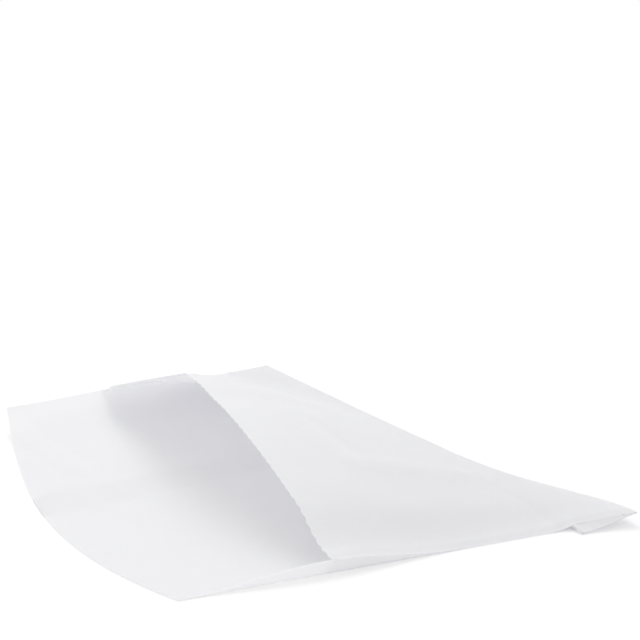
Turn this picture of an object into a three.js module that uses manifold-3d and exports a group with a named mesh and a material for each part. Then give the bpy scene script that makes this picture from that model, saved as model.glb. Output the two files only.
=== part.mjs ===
// A flat greaseproof paper bag for chips, lying on its back with its mouth propped open.
// One sheet is folded into a tube with a glued lap down the back, and its bottom end is
// folded under and glued. The back panel runs on past the mouth as a rounded lip, and the
// front panel ends in the zigzag of the knife that cut it.
//
// Millimetres, +Z up. X runs from the lip to the bottom fold and Y from the near side to
// the far one. The shape is worked out with the mouth line at x = 0, and then moved so that
// the origin is in the middle of the footprint, on the surface that the bag lies on.

import * as THREE from 'three';
import { mergeGeometries, mergeVertices } from 'three/addons/utils/BufferGeometryUtils.js';
import Module from 'manifold-3d';

// Paper and flat bag
const paper = 0.2; // thickness of the sheet
const flatWidth = 178; // width at the bottom fold, where the bag is pressed flat
const mouthWidth = 154; // width at the mouth, narrower because the front panel arches
const frontLength = 75.5; // mouth to bottom fold, on the centre line
const bottomSkew = 9.4; // how far the bottom fold's near end runs out beyond its far end
const mouthSkew = 3.6; // how far the mouth's far end runs out beyond its near end
const foldGap = 0.6; // what a pressed fold keeps between the two panels
const foldRun = 3; // how far from a fold that gap takes to open
const foldRadius = 0.8; // softness of the bend at the foot of the near fold's wall

// Lip
const lipLength = 38; // mouth to the lip's corners
const lipBulge = 12.2; // how far its rounded edge runs past the corners
const lipLean = 0.4; // share by which the bulge leans to the near side

// Front panel's arch
const archRise = 25.5; // top of the arch above the side folds, at the mouth
const archHold = 0.6; // how full the arch stays on its way to the bottom: 0 is a straight slope
const ridgeAtMouth = 6; // the ridge's place across the bag, from the centre line
const ridgeAtBottom = -26;
const nearFullness = 1.65; // roundness of the slope on each side of the ridge: 1 is straight
const farFullness = 1;
const nearFoot = 0.2; // last share of each slope, where it levels out towards the fold
const farFoot = 0.1;

// Lifted edges
const nearMargin = 5; // strip of the back panel that stands up along the near fold
const nearRise = 3.6; // height of the near fold at the mouth
const nearRiseEnd = 40; // where it is down again, from the mouth
const farMargin = 22; // strip of the back panel that curls up along the far fold
const farRise = 5.5; // height of the far fold at the mouth
const farRiseEnd = 68;
const lipCurl = 1.4; // what the lip's far corner curls up beyond that

// Bottom strip, folded under and glued
const stripWidth = 18;
const stripLayers = 2;
const stripRamp = 4; // run in which the back panel comes down off the strip
const earLength = 9.8; // how far the near corner of the fold is pulled out
const earWidth = 64; // stretch of the fold that it takes
const earFlare = 3.2; // how far the corner stands out sideways
const earLift = 3; // how far the corner is lifted
const earRun = 28; // length of the near side over which it flares and lifts
const stripTaper = 2.2; // how far the strip's near end runs in from the fold's corner
const stripInset = 0.6; // how far its far end runs in from the far fold

// Lap down the back, where the sheet's two edges are glued
const lapWidth = 12;
const lapRamp = 3;
const glue = 0.08; // how deep a glued layer is pressed into the sheet

// Zigzag edge
const toothPitch = 2.6;
const toothDepth = 0.6;

// Fineness of the faceted sheet
const lipRows = 7;
const tubeRows = 8;
const sideColumns = 5;

const bottomHalf = flatWidth / 2;
const mouthHalf = mouthWidth / 2;
const stripThickness = stripLayers * paper;
const stripStep = stripThickness - glue;
const stripZone = stripWidth + stripRamp;
const lapStep = paper - glue;

const { clamp, lerp } = THREE.MathUtils;

const ramp = (value) => {
  const t = clamp(value, 0, 1);
  return t * t * (3 - 2 * t);
};

// Outline of the bag in plan. Across the bag, a place is a share of the half width:
// -1 is the near fold and 1 the far one.

function halfWidth(x) {
  return lerp(mouthHalf, bottomHalf, x / frontLength);
}

function earShare(x) {
  return ramp(1 + (x - bottomEdge(-1)) / earRun);
}

function nearEdge(x) {
  return -halfWidth(x) - earFlare * earShare(x) ** 2;
}

function across(x, share) {
  return lerp(nearEdge(x), halfWidth(x), (share + 1) / 2);
}

function lipEdge(share) {
  return -lipLength - lipBulge * (1 - share * share) * (1 - lipLean * share);
}

function bottomEdge(share) {
  const ear = earLength * ramp(((-share - 1) * bottomHalf) / earWidth + 1);
  return frontLength - (bottomSkew / 2) * share + ear;
}

// Along the bag, a place is a row: -1 is the lip's free edge, 0 the mouth, 1 the place where
// the back panel starts to step up on to the bottom strip, and 2 the bottom fold.
function rowX(row, share) {
  const mouth = (-mouthSkew / 2) * share;
  const foot = bottomEdge(share) - stripZone;
  if (row < 0) return lerp(mouth, lipEdge(share), -row);
  return row < 1 ? lerp(mouth, foot, row) : foot + (row - 1) * stripZone;
}

// Heights above the ground of the middle of the sheet.

function nearHeight(x) {
  const rise = x < 0 ? ramp(1 + x / lipLength) : 1 - ramp(x / nearRiseEnd);
  return nearRise * rise;
}

function farHeight(x) {
  const curl = x < 0 ? lipCurl * (-x / lipLength) ** 2 : 0;
  return farRise * (1 - ramp(x / farRiseEnd)) + curl;
}

function onStrip(x, share) {
  return ramp((x - bottomEdge(share) + stripZone) / stripRamp);
}

// The lift that both panels share: the folded strip under them and the lifted corner.
function sharedLift(x, share) {
  return paper / 2 + stripStep * onStrip(x, share) + cornerLift(x, share);
}

function cornerLift(x, share) {
  return earLift * earShare(x) * ramp(-2 * share - 1);
}

function lapLift(x, share) {
  const side = Math.abs(share) * halfWidth(x);
  const over = ramp(1 - (side - lapWidth / 2) / lapRamp);
  return lapStep * over * (1 - onStrip(x, share));
}

// A bend with a soft corner: 0 below -radius, the value itself above the radius, and a
// parabola between the two.
function softBend(value, radius) {
  if (value > radius) return value;
  return Math.max(0, value + radius) ** 2 / (4 * Math.max(radius, paper / 100));
}

// The back panel: its near margin comes straight down from the fold and bends in over the
// ground, and its far margin curls up.
function backPoint(x, share) {
  const foot = (2 * nearMargin) / (halfWidth(x) - nearEdge(x)) - 1;
  const lift = sharedLift(x, share) + lapLift(x, share);
  const rise = nearHeight(x);
  if (share < foot) {
    const down = (nearMargin * (share + 1)) / (foot + 1);
    const bend = Math.min(foldRadius, rise);
    const y = nearEdge(x) + softBend(down - rise, bend);
    return new THREE.Vector3(x, y, lift + softBend(rise - down, bend));
  }
  const footY = nearEdge(x) + nearMargin - rise;
  const y = lerp(footY, halfWidth(x), (share - foot) / (1 - foot));
  const curl = clamp(1 - (halfWidth(x) - y) / farMargin, 0, 1);
  return new THREE.Vector3(x, y, lift + farHeight(x) * curl * curl);
}

// The front panel: an arch whose ridge runs slanting from the mouth to the bottom fold.
function archHeight(along, share) {
  const ridge = lerp(ridgeAtMouth / mouthHalf, ridgeAtBottom / bottomHalf, along);
  const top = archRise * (1 - along) * (1 + archHold * along);
  const slope = (down, fullness, foot) => top * (1 - down ** fullness) * ramp((1 - down) / foot);
  return share < ridge
    ? slope((ridge - share) / (ridge + 1), nearFullness, nearFoot)
    : slope((share - ridge) / (1 - ridge), farFullness, farFoot);
}

function foldOpening(x, share) {
  const y = across(x, share);
  const sides = [y - nearEdge(x), halfWidth(x) - y, bottomEdge(share) - x];
  return foldGap * ramp(Math.min(...sides) / foldRun);
}

function frontPoint(row, share) {
  const x = rowX(row, share);
  const along = x / bottomEdge(share);
  const folds = lerp(nearHeight(x), farHeight(x), (share + 1) / 2);
  const z = sharedLift(x, share) + folds + foldOpening(x, share) + archHeight(along, share);
  return new THREE.Vector3(x, across(x, share), z);
}

// Breakpoints with an even number of steps between each two.
function gridLines(points, steps) {
  const lines = [points[0]];
  for (let i = 1; i < points.length; i += 1) {
    for (let k = 1; k <= steps[i - 1]; k += 1) {
      lines.push(lerp(points[i - 1], points[i], k / steps[i - 1]));
    }
  }
  return lines;
}

// An open surface on a grid of points, where pointAt takes a row and a column value.
function gridSurface(rows, columns, pointAt, upwards) {
  const positions = rows.flatMap((r) => columns.flatMap((c) => pointAt(r, c).toArray()));
  const index = [];
  for (let i = 0; i + 1 < rows.length; i += 1) {
    for (let j = 0; j + 1 < columns.length; j += 1) {
      const a = i * columns.length + j;
      const c = a + columns.length;
      const quad = columns[j] < 0 ? [a, c, a + 1, a + 1, c, c + 1] : [a, c, c + 1, a, c + 1, a + 1];
      index.push(...(upwards ? quad : quad.reverse()));
    }
  }
  return surface(positions, index);
}

function surface(positions, index) {
  const geometry = new THREE.BufferGeometry();
  geometry.setAttribute('position', new THREE.Float32BufferAttribute(positions, 3));
  geometry.setIndex(index);
  return geometry;
}

// The zigzag: in each column of the front panel's first row, a fan of small triangles from
// the two corners of the next row out to the teeth of the mouth edge.
function zigzagSurface(secondRow, columns) {
  const positions = [];
  const index = [];
  for (let j = 0; j + 1 < columns.length; j += 1) {
    const width = frontPoint(0, columns[j]).distanceTo(frontPoint(0, columns[j + 1]));
    const teeth = Math.max(1, Math.round(width / toothPitch));
    const first = positions.length / 3;
    positions.push(...frontPoint(secondRow, columns[j]).toArray());
    positions.push(...frontPoint(secondRow, columns[j + 1]).toArray());
    for (let k = 0; k <= 2 * teeth; k += 1) {
      const point = frontPoint(0, lerp(columns[j], columns[j + 1], k / (2 * teeth)));
      point.x -= k % 2 ? toothDepth : 0;
      positions.push(...point.toArray());
    }
    for (let k = 0; k < 2 * teeth; k += 1) {
      index.push(k < teeth ? first : first + 1, first + 3 + k, first + 2 + k);
    }
    index.push(first, first + 1, first + 2 + teeth);
  }
  return surface(positions, index);
}

// A closed sheet of the given thickness from an open surface: each point is moved out and
// in by half of it along the mean normal of its faces, and the free edges are closed.
function thicken(open, thickness) {
  const middle = mergeVertices(open, paper / 100);
  const place = middle.getAttribute('position');
  const faces = trianglesOf(middle);
  const points = Array.from({ length: place.count }, (_, i) =>
    new THREE.Vector3().fromBufferAttribute(place, i),
  );
  const normals = points.map(() => new THREE.Vector3());
  const once = new Map();
  for (const face of faces) {
    const [a, b, c] = face.map((i) => points[i]);
    const normal = b.clone().sub(a).cross(c.clone().sub(a)).normalize();
    face.forEach((i) => normals[i].add(normal));
    face.forEach((i, k) => {
      const j = face[(k + 1) % 3];
      if (!once.delete(`${j} ${i}`)) once.set(`${i} ${j}`, [i, j]);
    });
  }
  const half = thickness / 2;
  const shifted = (side) =>
    points.flatMap((p, i) => p.clone().addScaledVector(normals[i].normalize(), side).toArray());
  const n = points.length;
  const index = faces.flatMap(([a, b, c]) => [a, b, c, n + a, n + c, n + b]);
  for (const [a, b] of once.values()) index.push(b, a, n + a, b, n + a, n + b);
  return surface([...shifted(half), ...shifted(-half)], index);
}

function trianglesOf(geometry) {
  const list = geometry.getIndex().array;
  const faces = [];
  for (let i = 0; i < list.length; i += 3) faces.push([list[i], list[i + 1], list[i + 2]]);
  return faces;
}

// A layer glued under the sheet: a closed slab between two heights over one grid.
function slab(rows, columns, pointAt, bottomAt, topAt) {
  const layer = (heightAt) => (r, c) => {
    const point = pointAt(r, c);
    point.z = heightAt(point.x, c);
    return point;
  };
  const top = gridSurface(rows, columns, layer(topAt), true);
  const bottom = gridSurface(rows, columns, layer(bottomAt), false);
  const n = rows.length * columns.length;
  const m = columns.length;
  const border = [
    ...columns.slice(1).map((_, j) => [j, j + 1]),
    ...rows.slice(1).map((_, i) => [(i + 1) * m - 1, (i + 2) * m - 1]),
    ...columns.slice(1).map((_, j) => [n - 1 - j, n - 2 - j]),
    ...rows.slice(1).map((_, i) => [n - m - i * m, n - 2 * m - i * m]),
  ];
  const sides = border.flatMap(([a, b]) => [a, b, n + b, a, n + b, n + a]);
  const positions = [top, bottom].flatMap((g) => [...g.getAttribute('position').array]);
  const lower = [...bottom.getIndex().array].map((i) => n + i);
  return surface(positions, [...top.getIndex().array, ...lower, ...sides]);
}

// Both panels have the same columns, so that they share their points along the bottom fold.
const footShare = nearMargin / bottomHalf - 1;
const lapShare = lapWidth / 2 / bottomHalf;
const lapFootShare = (lapWidth / 2 + lapRamp) / mouthHalf;
const curlShare = 1 - farMargin / mouthHalf;
const seamShare = 1 - foldRun / bottomHalf;
const columnLines = gridLines(
  [-1, footShare, ridgeAtBottom / bottomHalf, -lapFootShare, -lapShare, lapShare, lapFootShare,
    curlShare, seamShare, 1],
  [3, sideColumns, 1, 1, 1, 1, sideColumns, 3, 2],
);
const stripRow = 1 + stripRamp / stripZone;
const foldRow = 2 - foldRun / stripZone;
const lipLines = gridLines([-1, 0], [lipRows]);
const tubeLines = gridLines([0, 1, stripRow, foldRow, 2], [tubeRows, 1, 3, 2]);
const stripLines = tubeLines.slice(tubeRows + 1);

function sheetSurface() {
  const backLines = [...lipLines, ...tubeLines.slice(1)];
  const back = gridSurface(backLines, columnLines, (r, c) => backPoint(rowX(r, c), c), false);
  const front = gridSurface(tubeLines.slice(1), columnLines, frontPoint, true);
  return mergeGeometries([back, front, zigzagSurface(tubeLines[1], columnLines)]);
}

// The strip lies under the back panel. It is pressed to it along the fold, and from there
// its near end falls away from the lifted corner.
function bottomStrip() {
  const pointAt = (r, c) => {
    const point = backPoint(rowX(r, c), c);
    const free = (bottomEdge(c) - point.x) / stripWidth;
    const nearEnd = nearEdge(bottomEdge(-1)) + stripTaper * free - nearEdge(point.x);
    point.y += ramp(2 * Math.abs(c) - 1) * (c < 0 ? nearEnd : -stripInset * free);
    return point;
  };
  const bottomAt = (x, c) => {
    const hold = clamp((x - bottomEdge(c) + stripWidth) / (stripWidth - foldRun), 0, 1);
    return cornerLift(x, c) * hold * hold;
  };
  const topAt = (x, c) => bottomAt(x, c) + stripThickness;
  return slab(stripLines, columnLines, pointAt, bottomAt, topAt);
}

// The lap runs from the lip to the strip, and fills up the back panel's step beside it.
function backLap() {
  const rows = [...lipLines, ...tubeLines.slice(1, tubeRows + 3)];
  const pointAt = (r, c) => {
    const point = backPoint(rowX(r, c), c);
    point.x += r > -1 ? 0 : paper;
    return point;
  };
  const topAt = (x, c) => sharedLift(x, c) + lapLift(x, c) - paper / 2 + glue;
  return slab(rows, [-lapShare, lapShare], pointAt, () => 0, topAt);
}

// Solids for the joining of the layers.
const wasm = await Module();
wasm.setup();

function solidOf(geometry) {
  const merged = mergeVertices(geometry, paper / 1000);
  return new wasm.Manifold(new wasm.Mesh({
    numProp: 3,
    vertProperties: Float32Array.from(merged.getAttribute('position').array),
    triVerts: Uint32Array.from(merged.getIndex().array),
  }));
}

function geometryOf(solid) {
  const mesh = solid.getMesh();
  return surface(Array.from(mesh.vertProperties), Array.from(mesh.triVerts));
}

const bagSolid = solidOf(thicken(sheetSurface(), paper))
  .add(solidOf(bottomStrip()))
  .add(solidOf(backLap()));
const bagGeometry = geometryOf(bagSolid);
bagGeometry.computeBoundingBox();
const footprint = bagGeometry.boundingBox;
const centre = footprint.getCenter(new THREE.Vector3());
bagGeometry.translate(-centre.x, -centre.y, -footprint.min.z);
bagGeometry.computeVertexNormals();

const greaseproofPaper = new THREE.MeshStandardMaterial({
  color: 0xf4f4f6,
  roughness: 0.55,
  metalness: 0,
});

const paperBag = new THREE.Mesh(bagGeometry, greaseproofPaper);
paperBag.name = 'paper_bag';

const bag = new THREE.Group();
bag.add(paperBag);

export default bag;
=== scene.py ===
# %% [markdown]
# # A greaseproof paper bag for chips
#
# The bag lies on its back with its mouth propped open. One thin sheet is folded into a
# flat tube, glued down the back, and its bottom end is folded under and glued. The back
# panel runs on past the mouth as a long lip. This lesson builds that sheet as surfaces
# worked out with numpy, gives it the look of calendered paper, and lights it softly.

# %% Load the fixed frame
import math

import bpy
import numpy as np
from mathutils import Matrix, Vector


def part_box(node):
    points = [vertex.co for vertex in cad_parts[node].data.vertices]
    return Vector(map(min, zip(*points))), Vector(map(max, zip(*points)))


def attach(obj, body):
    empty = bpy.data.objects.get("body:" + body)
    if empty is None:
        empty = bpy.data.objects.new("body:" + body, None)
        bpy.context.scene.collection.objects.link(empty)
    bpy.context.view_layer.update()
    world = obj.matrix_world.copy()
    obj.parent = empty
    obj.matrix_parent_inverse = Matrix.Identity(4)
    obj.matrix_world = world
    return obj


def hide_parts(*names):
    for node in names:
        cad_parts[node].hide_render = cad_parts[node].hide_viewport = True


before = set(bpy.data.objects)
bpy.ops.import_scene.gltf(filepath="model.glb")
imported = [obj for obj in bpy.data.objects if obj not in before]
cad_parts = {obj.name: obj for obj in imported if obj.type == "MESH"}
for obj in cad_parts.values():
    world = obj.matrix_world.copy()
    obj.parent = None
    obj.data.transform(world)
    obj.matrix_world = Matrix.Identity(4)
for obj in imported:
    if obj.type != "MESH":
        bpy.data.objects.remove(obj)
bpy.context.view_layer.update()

print("solids:", sorted(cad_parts))

# %% [markdown]
# ## Sizes
#
# All the sizes are those of the solid model, in millimetres. They describe the bag as it
# lies: the flat width is kept at the pressed bottom fold, and the mouth is narrower in
# plan because its front panel arches. X runs from the lip to the bottom fold, Y from the
# near side to the far one, and the mouth line is at x = 0 until the piece is placed.

# %% Driving sizes
MM = 0.001

PAPER = 0.2
FLAT_WIDTH = 178.0
MOUTH_WIDTH = 154.0
FRONT_LENGTH = 75.5
BOTTOM_SKEW = 9.4
MOUTH_SKEW = 3.6
FOLD_GAP = 0.6
FOLD_RUN = 3.0
FOLD_RADIUS = 0.8

LIP_LENGTH = 38.0
LIP_BULGE = 12.2
LIP_LEAN = 0.4

ARCH_RISE = 25.5
ARCH_HOLD = 0.6
RIDGE_AT_MOUTH = 6.0
RIDGE_AT_BOTTOM = -26.0
NEAR_FULLNESS = 1.65
FAR_FULLNESS = 1.0
NEAR_FOOT = 0.2
FAR_FOOT = 0.15

NEAR_MARGIN = 5.0
NEAR_RISE = 3.6
NEAR_RISE_END = 40.0
FAR_MARGIN = 22.0
FAR_RISE = 5.5
FAR_RISE_END = 68.0
LIP_CURL = 1.4

STRIP_WIDTH = 18.0
STRIP_LAYERS = 2
STRIP_RAMP = 4.0
EAR_LENGTH = 9.8
EAR_WIDTH = 64.0
EAR_FLARE = 3.2
EAR_LIFT = 3.0
EAR_RUN = 28.0
STRIP_TAPER = 2.2
STRIP_INSET = 0.6

LAP_WIDTH = 12.0
LAP_RAMP = 3.0
GLUE = 0.08

TOOTH_PITCH = 2.6
TOOTH_DEPTH = 0.5

BOTTOM_HALF = FLAT_WIDTH / 2
MOUTH_HALF = MOUTH_WIDTH / 2
STRIP_STEP = STRIP_LAYERS * PAPER - GLUE
STRIP_ZONE = STRIP_WIDTH + STRIP_RAMP
LAP_STEP = PAPER - GLUE

# %% [markdown]
# ## The bag's outline in plan
#
# The side folds run apart from the mouth to the bottom, the lip's free edge is one long
# curve, and the bottom fold is a little skew with its near corner pulled out. A place
# across the bag is written as a share of the half width, from -1 at the near fold to 1 at
# the far one. Every function takes whole arrays, so one call shapes the whole sheet.

# %% Outline functions
def ramp(value):
    """Smooth step: 3t^2 - 2t^3, where t is the value held between 0 and 1."""
    t = np.clip(value, 0.0, 1.0)
    return t * t * (3.0 - 2.0 * t)


def blend(a, b, t):
    """Straight mix: a at t = 0 and b at t = 1."""
    return a + (b - a) * t


def half_width(x):
    return blend(MOUTH_HALF, BOTTOM_HALF, x / FRONT_LENGTH)


def lip_edge(share):
    """Parabola across the bag, leaning to the near side."""
    return -LIP_LENGTH - LIP_BULGE * (1 - share**2) * (1 - LIP_LEAN * share)


def bottom_edge(share):
    """Straight skew line, with a smooth step where the near corner is pulled out."""
    ear = EAR_LENGTH * ramp((-share - 1) * BOTTOM_HALF / EAR_WIDTH + 1)
    return FRONT_LENGTH - BOTTOM_SKEW / 2 * share + ear


def row_x(row, share):
    """Rows along the bag: -1 the lip's free edge, 0 the mouth, 1 the place where the back
    panel starts to step up on to the bottom strip, and 2 the bottom fold."""
    mouth = -MOUTH_SKEW / 2 * share
    foot = bottom_edge(share) - STRIP_ZONE
    tube = np.where(row < 1, blend(mouth, foot, row), foot + (row - 1) * STRIP_ZONE)
    return np.where(row < 0, blend(mouth, lip_edge(share), -row), tube)


def ear_share(x):
    return ramp(1 + (x - bottom_edge(-1.0)) / EAR_RUN)


def near_edge(x):
    return -half_width(x) - EAR_FLARE * ear_share(x) ** 2


def across(x, share):
    return blend(near_edge(x), half_width(x), (share + 1) / 2)


# %% [markdown]
# ## Soft creases
#
# Handled paper is never quite smooth. A few soft creases run over it, each one a low bump
# or hollow along a short line, and they are added to the heights of the two panels.

# %% Creases
# Each crease runs from one (x, y) to another; then come its height and its half width.
FRONT_CREASES = [
    ((4.0, -12.0), (30.0, -14.0), -0.6, 5.0),
    ((26.0, -24.0), (30.0, -42.0), -0.5, 4.0),
    ((27.0, -47.0), (58.0, -56.0), 0.8, 4.5),
    ((12.0, -56.0), (34.0, -70.0), 0.5, 6.0),
    ((40.0, 20.0), (62.0, -20.0), 0.5, 6.0),
]
BACK_CREASES = [
    ((-38.0, 68.0), (-31.0, 22.0), 0.7, 4.0),
    ((4.0, 72.5), (38.0, 70.0), 0.5, 2.0),
]


def crease_height(x, y, creases):
    """Sum of h * exp(-(d / w)^2), where d is the distance to the crease's line."""
    total = np.zeros_like(x)
    for (x0, y0), (x1, y1), height, width in creases:
        run = np.array([x1 - x0, y1 - y0])
        t = np.clip(((x - x0) * run[0] + (y - y0) * run[1]) / (run @ run), 0.0, 1.0)
        away = np.hypot(x - x0 - t * run[0], y - y0 - t * run[1])
        total = total + height * np.exp(-((away / width) ** 2))
    return total


# %% [markdown]
# ## Heights of the back panel
#
# The back panel lies flat on the table, but its margins don't: the arching front panel
# pulls the side folds up near the mouth. The near margin stands up like a low wall and
# the far one curls up in a wide curve. The bottom strip and the back lap lie under the
# panel, so it steps up over them by their thickness.

# %% Back panel
def near_height(x):
    """Smooth rise from the lip's corner to the mouth, and a smooth fall beyond it."""
    return NEAR_RISE * np.where(x < 0, ramp(1 + x / LIP_LENGTH), 1 - ramp(x / NEAR_RISE_END))


def far_height(x):
    curl = np.where(x < 0, LIP_CURL * (x / LIP_LENGTH) ** 2, 0.0)
    return FAR_RISE * (1 - ramp(x / FAR_RISE_END)) + curl


def corner_lift(x, share):
    return EAR_LIFT * ear_share(x) * ramp(-2 * share - 1)


def on_strip(x, share):
    """Smooth step from 0 to 1 where the back panel climbs on to the bottom strip."""
    return ramp((x - bottom_edge(share) + STRIP_ZONE) / STRIP_RAMP)


def shared_lift(x, share):
    """Half the paper, plus the step on to the strip, plus the lifted corner."""
    return PAPER / 2 + STRIP_STEP * on_strip(x, share) + corner_lift(x, share)


def lap_lift(x, share):
    side = np.abs(share) * half_width(x)
    over = ramp(1 - (side - LAP_WIDTH / 2) / LAP_RAMP)
    return LAP_STEP * over * (1 - on_strip(x, share))


def soft_fold(value, radius):
    """0 below -r, the value itself above r, and (value + r)^2 / 4r between the two."""
    r = np.maximum(radius, 1e-6)
    return np.where(value > r, value, np.maximum(value + r, 0.0) ** 2 / (4 * r))


def back_surface(x, share):
    """Points of the back panel. Along the near fold the paper goes straight down by its
    rise d < rise, and from there inwards over the table, with a soft bend between. The
    far margin rises with the square of the distance that is left to its edge."""
    foot = 2 * NEAR_MARGIN / (half_width(x) - near_edge(x)) - 1
    rise = near_height(x)
    bend = np.minimum(FOLD_RADIUS, rise)
    down = NEAR_MARGIN * np.clip((share + 1) / (foot + 1), 0.0, 1.0)
    foot_y = near_edge(x) + NEAR_MARGIN - rise
    floor_y = blend(foot_y, half_width(x), np.clip((share - foot) / (1 - foot), 0.0, 1.0))
    y = np.where(share < foot, near_edge(x) + soft_fold(down - rise, bend), floor_y)
    curl = np.clip(1 - (half_width(x) - y) / FAR_MARGIN, 0.0, 1.0)
    z = shared_lift(x, share) + lap_lift(x, share) + soft_fold(rise - down, bend)
    z = z + crease_height(x, y, BACK_CREASES) * ramp(4 * (1 - np.abs(share)))
    return np.stack([x, y, z + far_height(x) * curl**2], axis=-1)


# %% [markdown]
# ## The arching front panel
#
# What was in the bag has left the front panel arched: high at the mouth, and flat at the
# bottom fold. Its ridge runs slanting from the middle of the mouth to the near part of
# the bottom fold. The near slope is round and the far slope is almost straight, as paper
# is when it is pulled over an edge.

# %% Front panel
def arch_height(along, share):
    """top * (1 - d^n) * ramp((1 - d) / f), where d runs from 0 on the ridge to 1 at the
    fold, n is the fullness of that side and f the share where it levels out; top falls
    from the mouth to the bottom as (1 - s)(1 + k s)."""
    ridge = blend(RIDGE_AT_MOUTH / MOUTH_HALF, RIDGE_AT_BOTTOM / BOTTOM_HALF, along)
    top = ARCH_RISE * (1 - along) * (1 + ARCH_HOLD * along)
    near = np.clip((ridge - share) / (ridge + 1), 0.0, 1.0)
    far = np.clip((share - ridge) / (1 - ridge), 0.0, 1.0)
    level = ramp((1 - near) / NEAR_FOOT) * ramp((1 - far) / FAR_FOOT)
    return top * (1 - near**NEAR_FULLNESS - far**FAR_FULLNESS) * level


def fold_opening(x, share):
    """The gap between the panels: it opens smoothly away from each of the three folds."""
    y = across(x, share)
    side = np.minimum(y - near_edge(x), half_width(x) - y)
    return FOLD_GAP * ramp(np.minimum(side, bottom_edge(share) - x) / FOLD_RUN)


def front_surface(row, share):
    x = row_x(row, share)
    folds = blend(near_height(x), far_height(x), (share + 1) / 2)
    z = shared_lift(x, share) + folds + fold_opening(x, share)
    z = z + arch_height(x / bottom_edge(share), share)
    z = z + crease_height(x, across(x, share), FRONT_CREASES) * ramp(4 * (1 - np.abs(share)))
    teeth = np.abs((share * MOUTH_HALF / TOOTH_PITCH) % 1.0 - 0.5) * 2
    beyond_mouth = x - row_x(0.0, share)
    shown_x = x - TOOTH_DEPTH * teeth * ramp(1 - beyond_mouth / (2 * TOOTH_DEPTH))
    return np.stack([shown_x, across(x, share), z], axis=-1)


# %% [markdown]
# ## From surfaces to one folded sheet
#
# Each surface is a grid of points. The two grids of the sheet share their points along
# the folds, so merging what lies together turns them into one sheet that is really
# folded there. A Solidify modifier then gives it the paper's thickness, half to each
# side, with closed cut edges. The shape could be simulated as cloth, but a worked-out
# surface keeps every fold where the solid model has it.

# %% Mesh helpers
def grid_faces(rows, columns, upwards):
    """Quads of a grid: corners (i, j), (i+1, j), (i+1, j+1), (i, j+1), or turned over."""
    i, j = np.meshgrid(np.arange(rows - 1), np.arange(columns - 1), indexing="ij")
    a = (i * columns + j).ravel()
    corners = [a, a + columns, a + columns + 1, a + 1]
    return np.stack(corners if upwards else corners[::-1], axis=-1)


def spread(points, steps):
    """Breakpoints with an even number of steps between each two of them."""
    parts = [
        np.linspace(a, b, n, endpoint=False)
        for a, b, n in zip(points[:-1], points[1:], steps)
    ]
    return np.concatenate(parts + [np.array(points[-1:], float)])


def mesh_object(name, surfaces):
    """One object from (points, upwards) grids, in metres."""
    points, faces, first = [], [], 0
    for grid, upwards in surfaces:
        rows, columns = grid.shape[:2]
        points.append(grid.reshape(-1, 3))
        faces.append(grid_faces(rows, columns, upwards) + first)
        first += rows * columns
    points = np.concatenate(points)
    faces = np.concatenate(faces)
    places, merged = np.unique(np.round(points, 5), axis=0, return_inverse=True)
    faces = merged.reshape(-1)[faces]
    mesh = bpy.data.meshes.new(name)
    mesh.from_pydata((places * MM + place_offset).tolist(), [], faces.tolist())
    mesh.validate()
    mesh.update()
    mesh.polygons.foreach_set("use_smooth", np.ones(len(mesh.polygons), bool))
    piece = bpy.data.objects.new(name, mesh)
    bpy.context.scene.collection.objects.link(piece)
    print(name, len(places), "points", len(mesh.polygons), "faces")
    return piece


# The solid's box says where the mouth line lies in the frame.
low, high = (np.array(corner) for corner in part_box("paper_bag"))
own_low = np.array([lip_edge(np.linspace(-1, 1, 401)).min(), near_edge(bottom_edge(-1.0)), 0.0])
place_offset = np.array([low[0], low[1], 0.0]) - (own_low - [PAPER / 2, PAPER / 2, 0]) * MM
print("mouth line at", np.round(place_offset / MM, 2), "mm")

# %% The folded sheet
CUT_ANGLE = 50
LIP_ROWS = 60
TUBE_STEPS = [6, 70, 12, 20, 12]
MARGIN_STEPS = 14
MOUTH_BAND = 0.04
tube_lines = spread(
    [0, MOUTH_BAND, 1, 1 + STRIP_RAMP / STRIP_ZONE, 2 - FOLD_RUN / STRIP_ZONE, 2], TUBE_STEPS
)
# One column on every tip and every valley of the teeth, and finer ones in the margins.
margin_lines = np.linspace(0, NEAR_MARGIN / BOTTOM_HALF, MARGIN_STEPS)
half_teeth = int((1 - margin_lines[-1]) * MOUTH_HALF / (TOOTH_PITCH / 2))
tooth_lines = np.arange(-half_teeth, half_teeth + 1) * TOOTH_PITCH / 2 / MOUTH_HALF
side_lines = np.concatenate([margin_lines - 1, tooth_lines, 1 - margin_lines[::-1]])

back_lines = np.concatenate([np.linspace(-1, 0, LIP_ROWS)[:-1], tube_lines])
back_r, back_c = np.meshgrid(back_lines, side_lines, indexing="ij")
back_grid = back_surface(row_x(back_r, back_c), back_c)
front_r, front_c = np.meshgrid(tube_lines, side_lines, indexing="ij")
front_grid = front_surface(front_r, front_c)

bag_sheet = mesh_object("bag_sheet", [(back_grid, False), (front_grid, True)])
thickness = bag_sheet.modifiers.new("paper", "SOLIDIFY")
thickness.thickness = PAPER * MM
thickness.offset = 0.0
thickness.use_even_offset = False
cut_edges = bag_sheet.modifiers.new("cut_edges", "EDGE_SPLIT")
cut_edges.split_angle = math.radians(CUT_ANGLE)
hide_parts("paper_bag")
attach(bag_sheet, "root")

# %% [markdown]
# ## Bottom strip
#
# The bottom end of the tube, both panels of it, is folded back under the bag and glued.
# It is a grid of its own with the thickness of two layers, and it starts right at the
# pressed fold. Its near end shows under the lifted corner, where it slopes down from the
# panel's edge to the table. More columns lie there, because the slope starts sharply.

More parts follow.
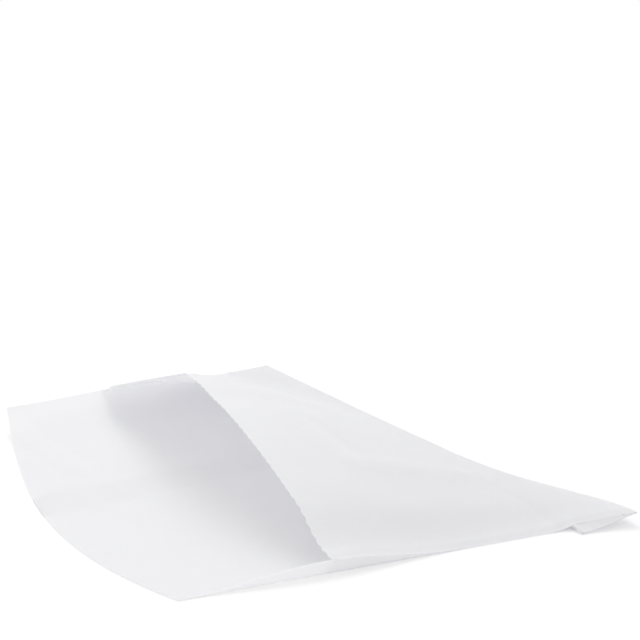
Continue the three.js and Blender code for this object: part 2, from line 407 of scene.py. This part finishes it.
# %% Bottom strip
def strip_surface(free, share):
    """The strip's middle, where free runs from 0 at the fold to 1 at its own cut edge. It
    is glued to the panel, and where its near end runs out past the panel's edge it slopes
    down to the table, except at the lifted corner."""
    x = bottom_edge(share) - free * STRIP_WIDTH
    near_end = near_edge(bottom_edge(-1.0)) + STRIP_TAPER * free - near_edge(x)
    end = np.where(share < 0, near_end, -STRIP_INSET * free)
    y = across(x, share) + ramp(2 * np.abs(share) - 1) * end
    under = 2 * (y - near_edge(x)) / (half_width(x) - near_edge(x)) - 1
    beyond = np.clip((near_edge(x) - y) / np.maximum(-near_end, 0.01), 0.0, 1.0)
    lift = corner_lift(x, np.maximum(under, -1.0)) * (1 - beyond * free)
    return np.stack([x, y, lift + STRIP_LAYERS * PAPER / 2], axis=-1)


STRIP_ROWS = 36
STRIP_STEPS = [60, 130]
strip_lines = spread([-1, -0.9, 1], STRIP_STEPS)
strip_r, strip_c = np.meshgrid(np.linspace(0, 1, STRIP_ROWS), strip_lines, indexing="ij")
bottom_strip = mesh_object("bottom_strip", [(strip_surface(strip_r, strip_c), False)])
strip_layers = bottom_strip.modifiers.new("paper", "SOLIDIFY")
strip_layers.thickness = STRIP_LAYERS * PAPER * MM
strip_layers.offset = 0.0
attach(bottom_strip, "root")

# %% [markdown]
# ## Back lap
#
# Where the sheet's two long edges meet down the middle of the back, one lies over the
# other and is glued. The lap is a plain narrow layer under the back panel, which climbs
# over it by lap_lift.

# %% Back lap
def lap_surface(row, side):
    """The lap's middle, from the lip's edge to the foot of the step up on to the strip."""
    share = side * LAP_WIDTH / 2 / half_width(row_x(row, 0.0))
    x = row_x(row, share)
    return np.stack([x, across(x, share), np.full_like(x, LAP_STEP - PAPER / 2)], axis=-1)


LAP_ROWS = 80
LAP_COLUMNS = 12
lap_r, lap_c = np.meshgrid(np.linspace(-1, 1, LAP_ROWS), np.linspace(-1, 1, LAP_COLUMNS), indexing="ij")
back_lap = mesh_object("back_lap", [(lap_surface(lap_r, lap_c), False)])
lap_layer = back_lap.modifiers.new("paper", "SOLIDIFY")
lap_layer.thickness = PAPER * MM
lap_layer.offset = 0.0
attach(back_lap, "root")

# %% [markdown]
# ## Greaseproof paper
#
# Greaseproof is beaten hard and pressed between rollers, so it is smooth, a little cool
# in its white, and slightly cloudy when looked at closely. The clouds are a few
# millimetres across, and the fibres that show as grain are drawn about 0.4 mm wide. Half
# of the light goes through the sheet and is scattered on the way, so a Translucent shader
# is mixed with the Principled one. Subsurface scattering is another way, but on a closed
# sheet this thin it loses the light that comes back from the table. Where the lap is
# glued, the paste fills the pores and lets more light through.

# %% Colour and node helpers
def linear(hex_colour):
    """sRGB hex to linear RGBA: c / 12.92 below 0.04045, else ((c + 0.055) / 1.055)^2.4."""
    channels = [int(hex_colour[i : i + 2], 16) / 255 for i in (1, 3, 5)]
    values = [c / 12.92 if c <= 0.04045 else ((c + 0.055) / 1.055) ** 2.4 for c in channels]
    return (*values, 1.0)


def add_node(tree, kind, settings=None, links=None):
    """A node with its settings, which name an attribute or an input socket, and its links.
    Where names of sockets repeat, the socket's number takes the name's place."""
    node = tree.nodes.new(kind)
    for key, value in (settings or {}).items():
        if isinstance(key, int) or key in node.inputs:
            node.inputs[key].default_value = value
        else:
            setattr(node, key, value)
    for key, source in (links or {}).items():
        tree.links.new(source, node.inputs[key])
    return node


# %% Paper material
CLOUDS_PER_METRE = 420.0
FIBRES_PER_METRE = 2200.0
SHEET_THROUGH = 0.5
GLUED_THROUGH = 0.85


def greaseproof(name, light_through):
    material = bpy.data.materials.new(name)
    material.use_nodes = True
    tree = material.node_tree
    tree.nodes.clear()
    place = add_node(tree, "ShaderNodeTexCoord").outputs["Object"]
    clouds = add_node(
        tree,
        "ShaderNodeTexNoise",
        {"Scale": CLOUDS_PER_METRE, "Detail": 5.0, "Roughness": 0.65},
        {"Vector": place},
    )
    tint = add_node(tree, "ShaderNodeValToRGB", links={"Fac": clouds.outputs["Fac"]})
    for stop, position, colour in zip(tint.color_ramp.elements, (0.35, 0.65), ("#f9f9fb", "#fbfbfc")):
        stop.position = position
        stop.color = linear(colour)
    grain = add_node(
        tree,
        "ShaderNodeTexNoise",
        {"Scale": FIBRES_PER_METRE, "Detail": 3.0, "Roughness": 0.7},
        {"Vector": place},
    )
    bump = add_node(
        tree, "ShaderNodeBump", {"Strength": 0.12, "Distance": 0.00006}, {"Height": grain.outputs["Fac"]}
    )
    shader = add_node(
        tree,
        "ShaderNodeBsdfPrincipled",
        {"Roughness": 0.52, "IOR": 1.5},
        {"Base Color": tint.outputs["Color"], "Normal": bump.outputs["Normal"]},
    )
    through = add_node(
        tree, "ShaderNodeBsdfTranslucent", {"Color": linear("#fefefe")}, {"Normal": bump.outputs["Normal"]}
    )
    sheet = add_node(
        tree, "ShaderNodeMixShader", {"Fac": light_through},
        {1: shader.outputs["BSDF"], 2: through.outputs["BSDF"]},
    )
    add_node(tree, "ShaderNodeOutputMaterial", links={"Surface": sheet.outputs["Shader"]})
    return material


plain_paper = greaseproof("calendered_greaseproof", SHEET_THROUGH)
glued_paper = greaseproof("glued_greaseproof", GLUED_THROUGH)
bag_sheet.data.materials.append(plain_paper)
bottom_strip.data.materials.append(plain_paper)
back_lap.data.materials.append(glued_paper)

# %% [markdown]
# ## Table
#
# The bag lies on a white table. To the camera the table is plain white, and to the light
# that falls on the bag it is a pale matt surface, so that it doesn't brighten the paper.
# The contact shadow stays, because the table's colour near the bag is only just white.

# %% Table
def background_rays(tree):
    """1 for the rays that show the background: camera, glossy and clear transmission. Light
    that a paper sheet scatters through itself is a diffuse ray too, and it is left out."""
    rays = add_node(tree, "ShaderNodeLightPath").outputs
    seen = rays["Is Camera Ray"]
    for kind in ("Is Glossy Ray", "Is Transmission Ray"):
        either = add_node(tree, "ShaderNodeMath", {"operation": "MAXIMUM"}, {0: seen, 1: rays[kind]})
        seen = either.outputs[0]
    clear = {0: seen, 1: rays["Is Diffuse Ray"]}
    return add_node(tree, "ShaderNodeMath", {"operation": "SUBTRACT", "use_clamp": True}, clear).outputs[0]


# The table's brightness for the camera, at two distances from the middle of the bag, in m.
NEAR_REACH, NEAR_BRIGHTNESS = 0.16, 1.03
FAR_REACH, FAR_BRIGHTNESS = 0.5, 1.5


def table_material():
    material = bpy.data.materials.new("white_sweep")
    material.use_nodes = True
    tree = material.node_tree
    tree.nodes.clear()
    # The far parts of the table get less of the lamp, so they are shown brighter.
    place = add_node(tree, "ShaderNodeTexCoord").outputs["Object"]
    away = add_node(tree, "ShaderNodeVectorMath", {"operation": "LENGTH"}, {0: place})
    shown = add_node(
        tree, "ShaderNodeMapRange",
        {"From Min": NEAR_REACH, "From Max": FAR_REACH,
         "To Min": NEAR_BRIGHTNESS, "To Max": FAR_BRIGHTNESS},
        {"Value": away.outputs["Value"]},
    )
    colour = add_node(
        tree, "ShaderNodeMix", {"data_type": "RGBA"}, {0: background_rays(tree), 7: shown.outputs[0]}
    )
    colour.inputs[6].default_value = linear("#f8f8f8")
    matt = add_node(tree, "ShaderNodeBsdfDiffuse", links={"Color": colour.outputs[2]})
    add_node(tree, "ShaderNodeOutputMaterial", links={"Surface": matt.outputs["BSDF"]})
    return material


TABLE_HALF = 3.0
TABLE_DROP = 0.05 * MM
floor_mesh = bpy.data.meshes.new("table")
floor_mesh.from_pydata(
    [(-TABLE_HALF, -TABLE_HALF, -TABLE_DROP), (TABLE_HALF, -TABLE_HALF, -TABLE_DROP),
     (TABLE_HALF, TABLE_HALF, -TABLE_DROP), (-TABLE_HALF, TABLE_HALF, -TABLE_DROP)],
    [], [(0, 1, 2, 3)],
)
table = bpy.data.objects.new("table", floor_mesh)
bpy.context.scene.collection.objects.link(table)
table.data.materials.append(table_material())

# %% [markdown]
# ## Light
#
# An even white sky lights the bag from all sides, and one big soft lamp, high up behind
# it, gives the arch its light and its shaded side. Light passes the thin layers many times
# before it comes out again, so the number of bounces is raised. With fewer of them, the
# places where several layers lie together would turn grey.

# %% Light
world = bpy.data.worlds.new("soft_sky")
bpy.context.scene.world = world
world.use_nodes = True
world_tree = world.node_tree
world_tree.nodes.clear()
SKY = 0.86
strength = add_node(
    world_tree, "ShaderNodeMix", {"data_type": "FLOAT", 2: SKY, 3: 1.0}, {0: background_rays(world_tree)}
)
sky = add_node(world_tree, "ShaderNodeBackground", {"Color": (1, 1, 1, 1)}, {"Strength": strength.outputs[0]})
add_node(world_tree, "ShaderNodeOutputWorld", links={"Surface": sky.outputs["Background"]})


def soft_light(name, place, aim, size, power):
    lamp = bpy.data.lights.new(name, "AREA")
    lamp.shape = "SQUARE"
    lamp.size = size
    lamp.energy = power
    light = bpy.data.objects.new(name, lamp)
    bpy.context.scene.collection.objects.link(light)
    light.location = place
    direction = np.array(aim) - np.array(place)
    flat = math.hypot(direction[0], direction[1])
    light.rotation_euler = (math.atan2(flat, -direction[2]), 0.0, math.atan2(-direction[0], direction[1]))
    return light


soft_light("overhead", place=(0.4, 1.1, 1.2), aim=(0.0, 0.0, 0.0), size=0.9, power=6.6)

bounces = bpy.context.scene.cycles
bounces.max_bounces = 64
bounces.diffuse_bounces = 48
bounces.transmission_bounces = 48
print("sky", SKY, "bounces", bounces.max_bounces)

# %% [markdown]
# ## Camera
#
# The camera stands at the near side, a little to the mouth's side, and looks down at 15
# degrees. Its place is given from the middle of the mouth line, in millimetres.

# %% Camera
CAMERA_FROM_MOUTH = np.array([-142.0, -315.0, 141.0])
CAMERA_PITCH = 15.0
CAMERA_HEADING = 30.5
FOCAL_PIXELS = 1200.0
FRAME_PIXELS = 640.0
camera_data = bpy.data.cameras.new("photo_view")
camera_data.sensor_width = 36.0
camera_data.lens = camera_data.sensor_width * FOCAL_PIXELS / FRAME_PIXELS
camera_data.clip_start = 0.01
camera = bpy.data.objects.new("photo_view", camera_data)
bpy.context.scene.collection.objects.link(camera)
camera.location = CAMERA_FROM_MOUTH * MM + place_offset
camera.rotation_euler = (math.radians(90 - CAMERA_PITCH), 0.0, -math.radians(CAMERA_HEADING))
bpy.context.scene.camera = camera
bpy.context.scene.view_settings.view_transform = "Standard"
print("lens", round(camera_data.lens, 2), "mm")
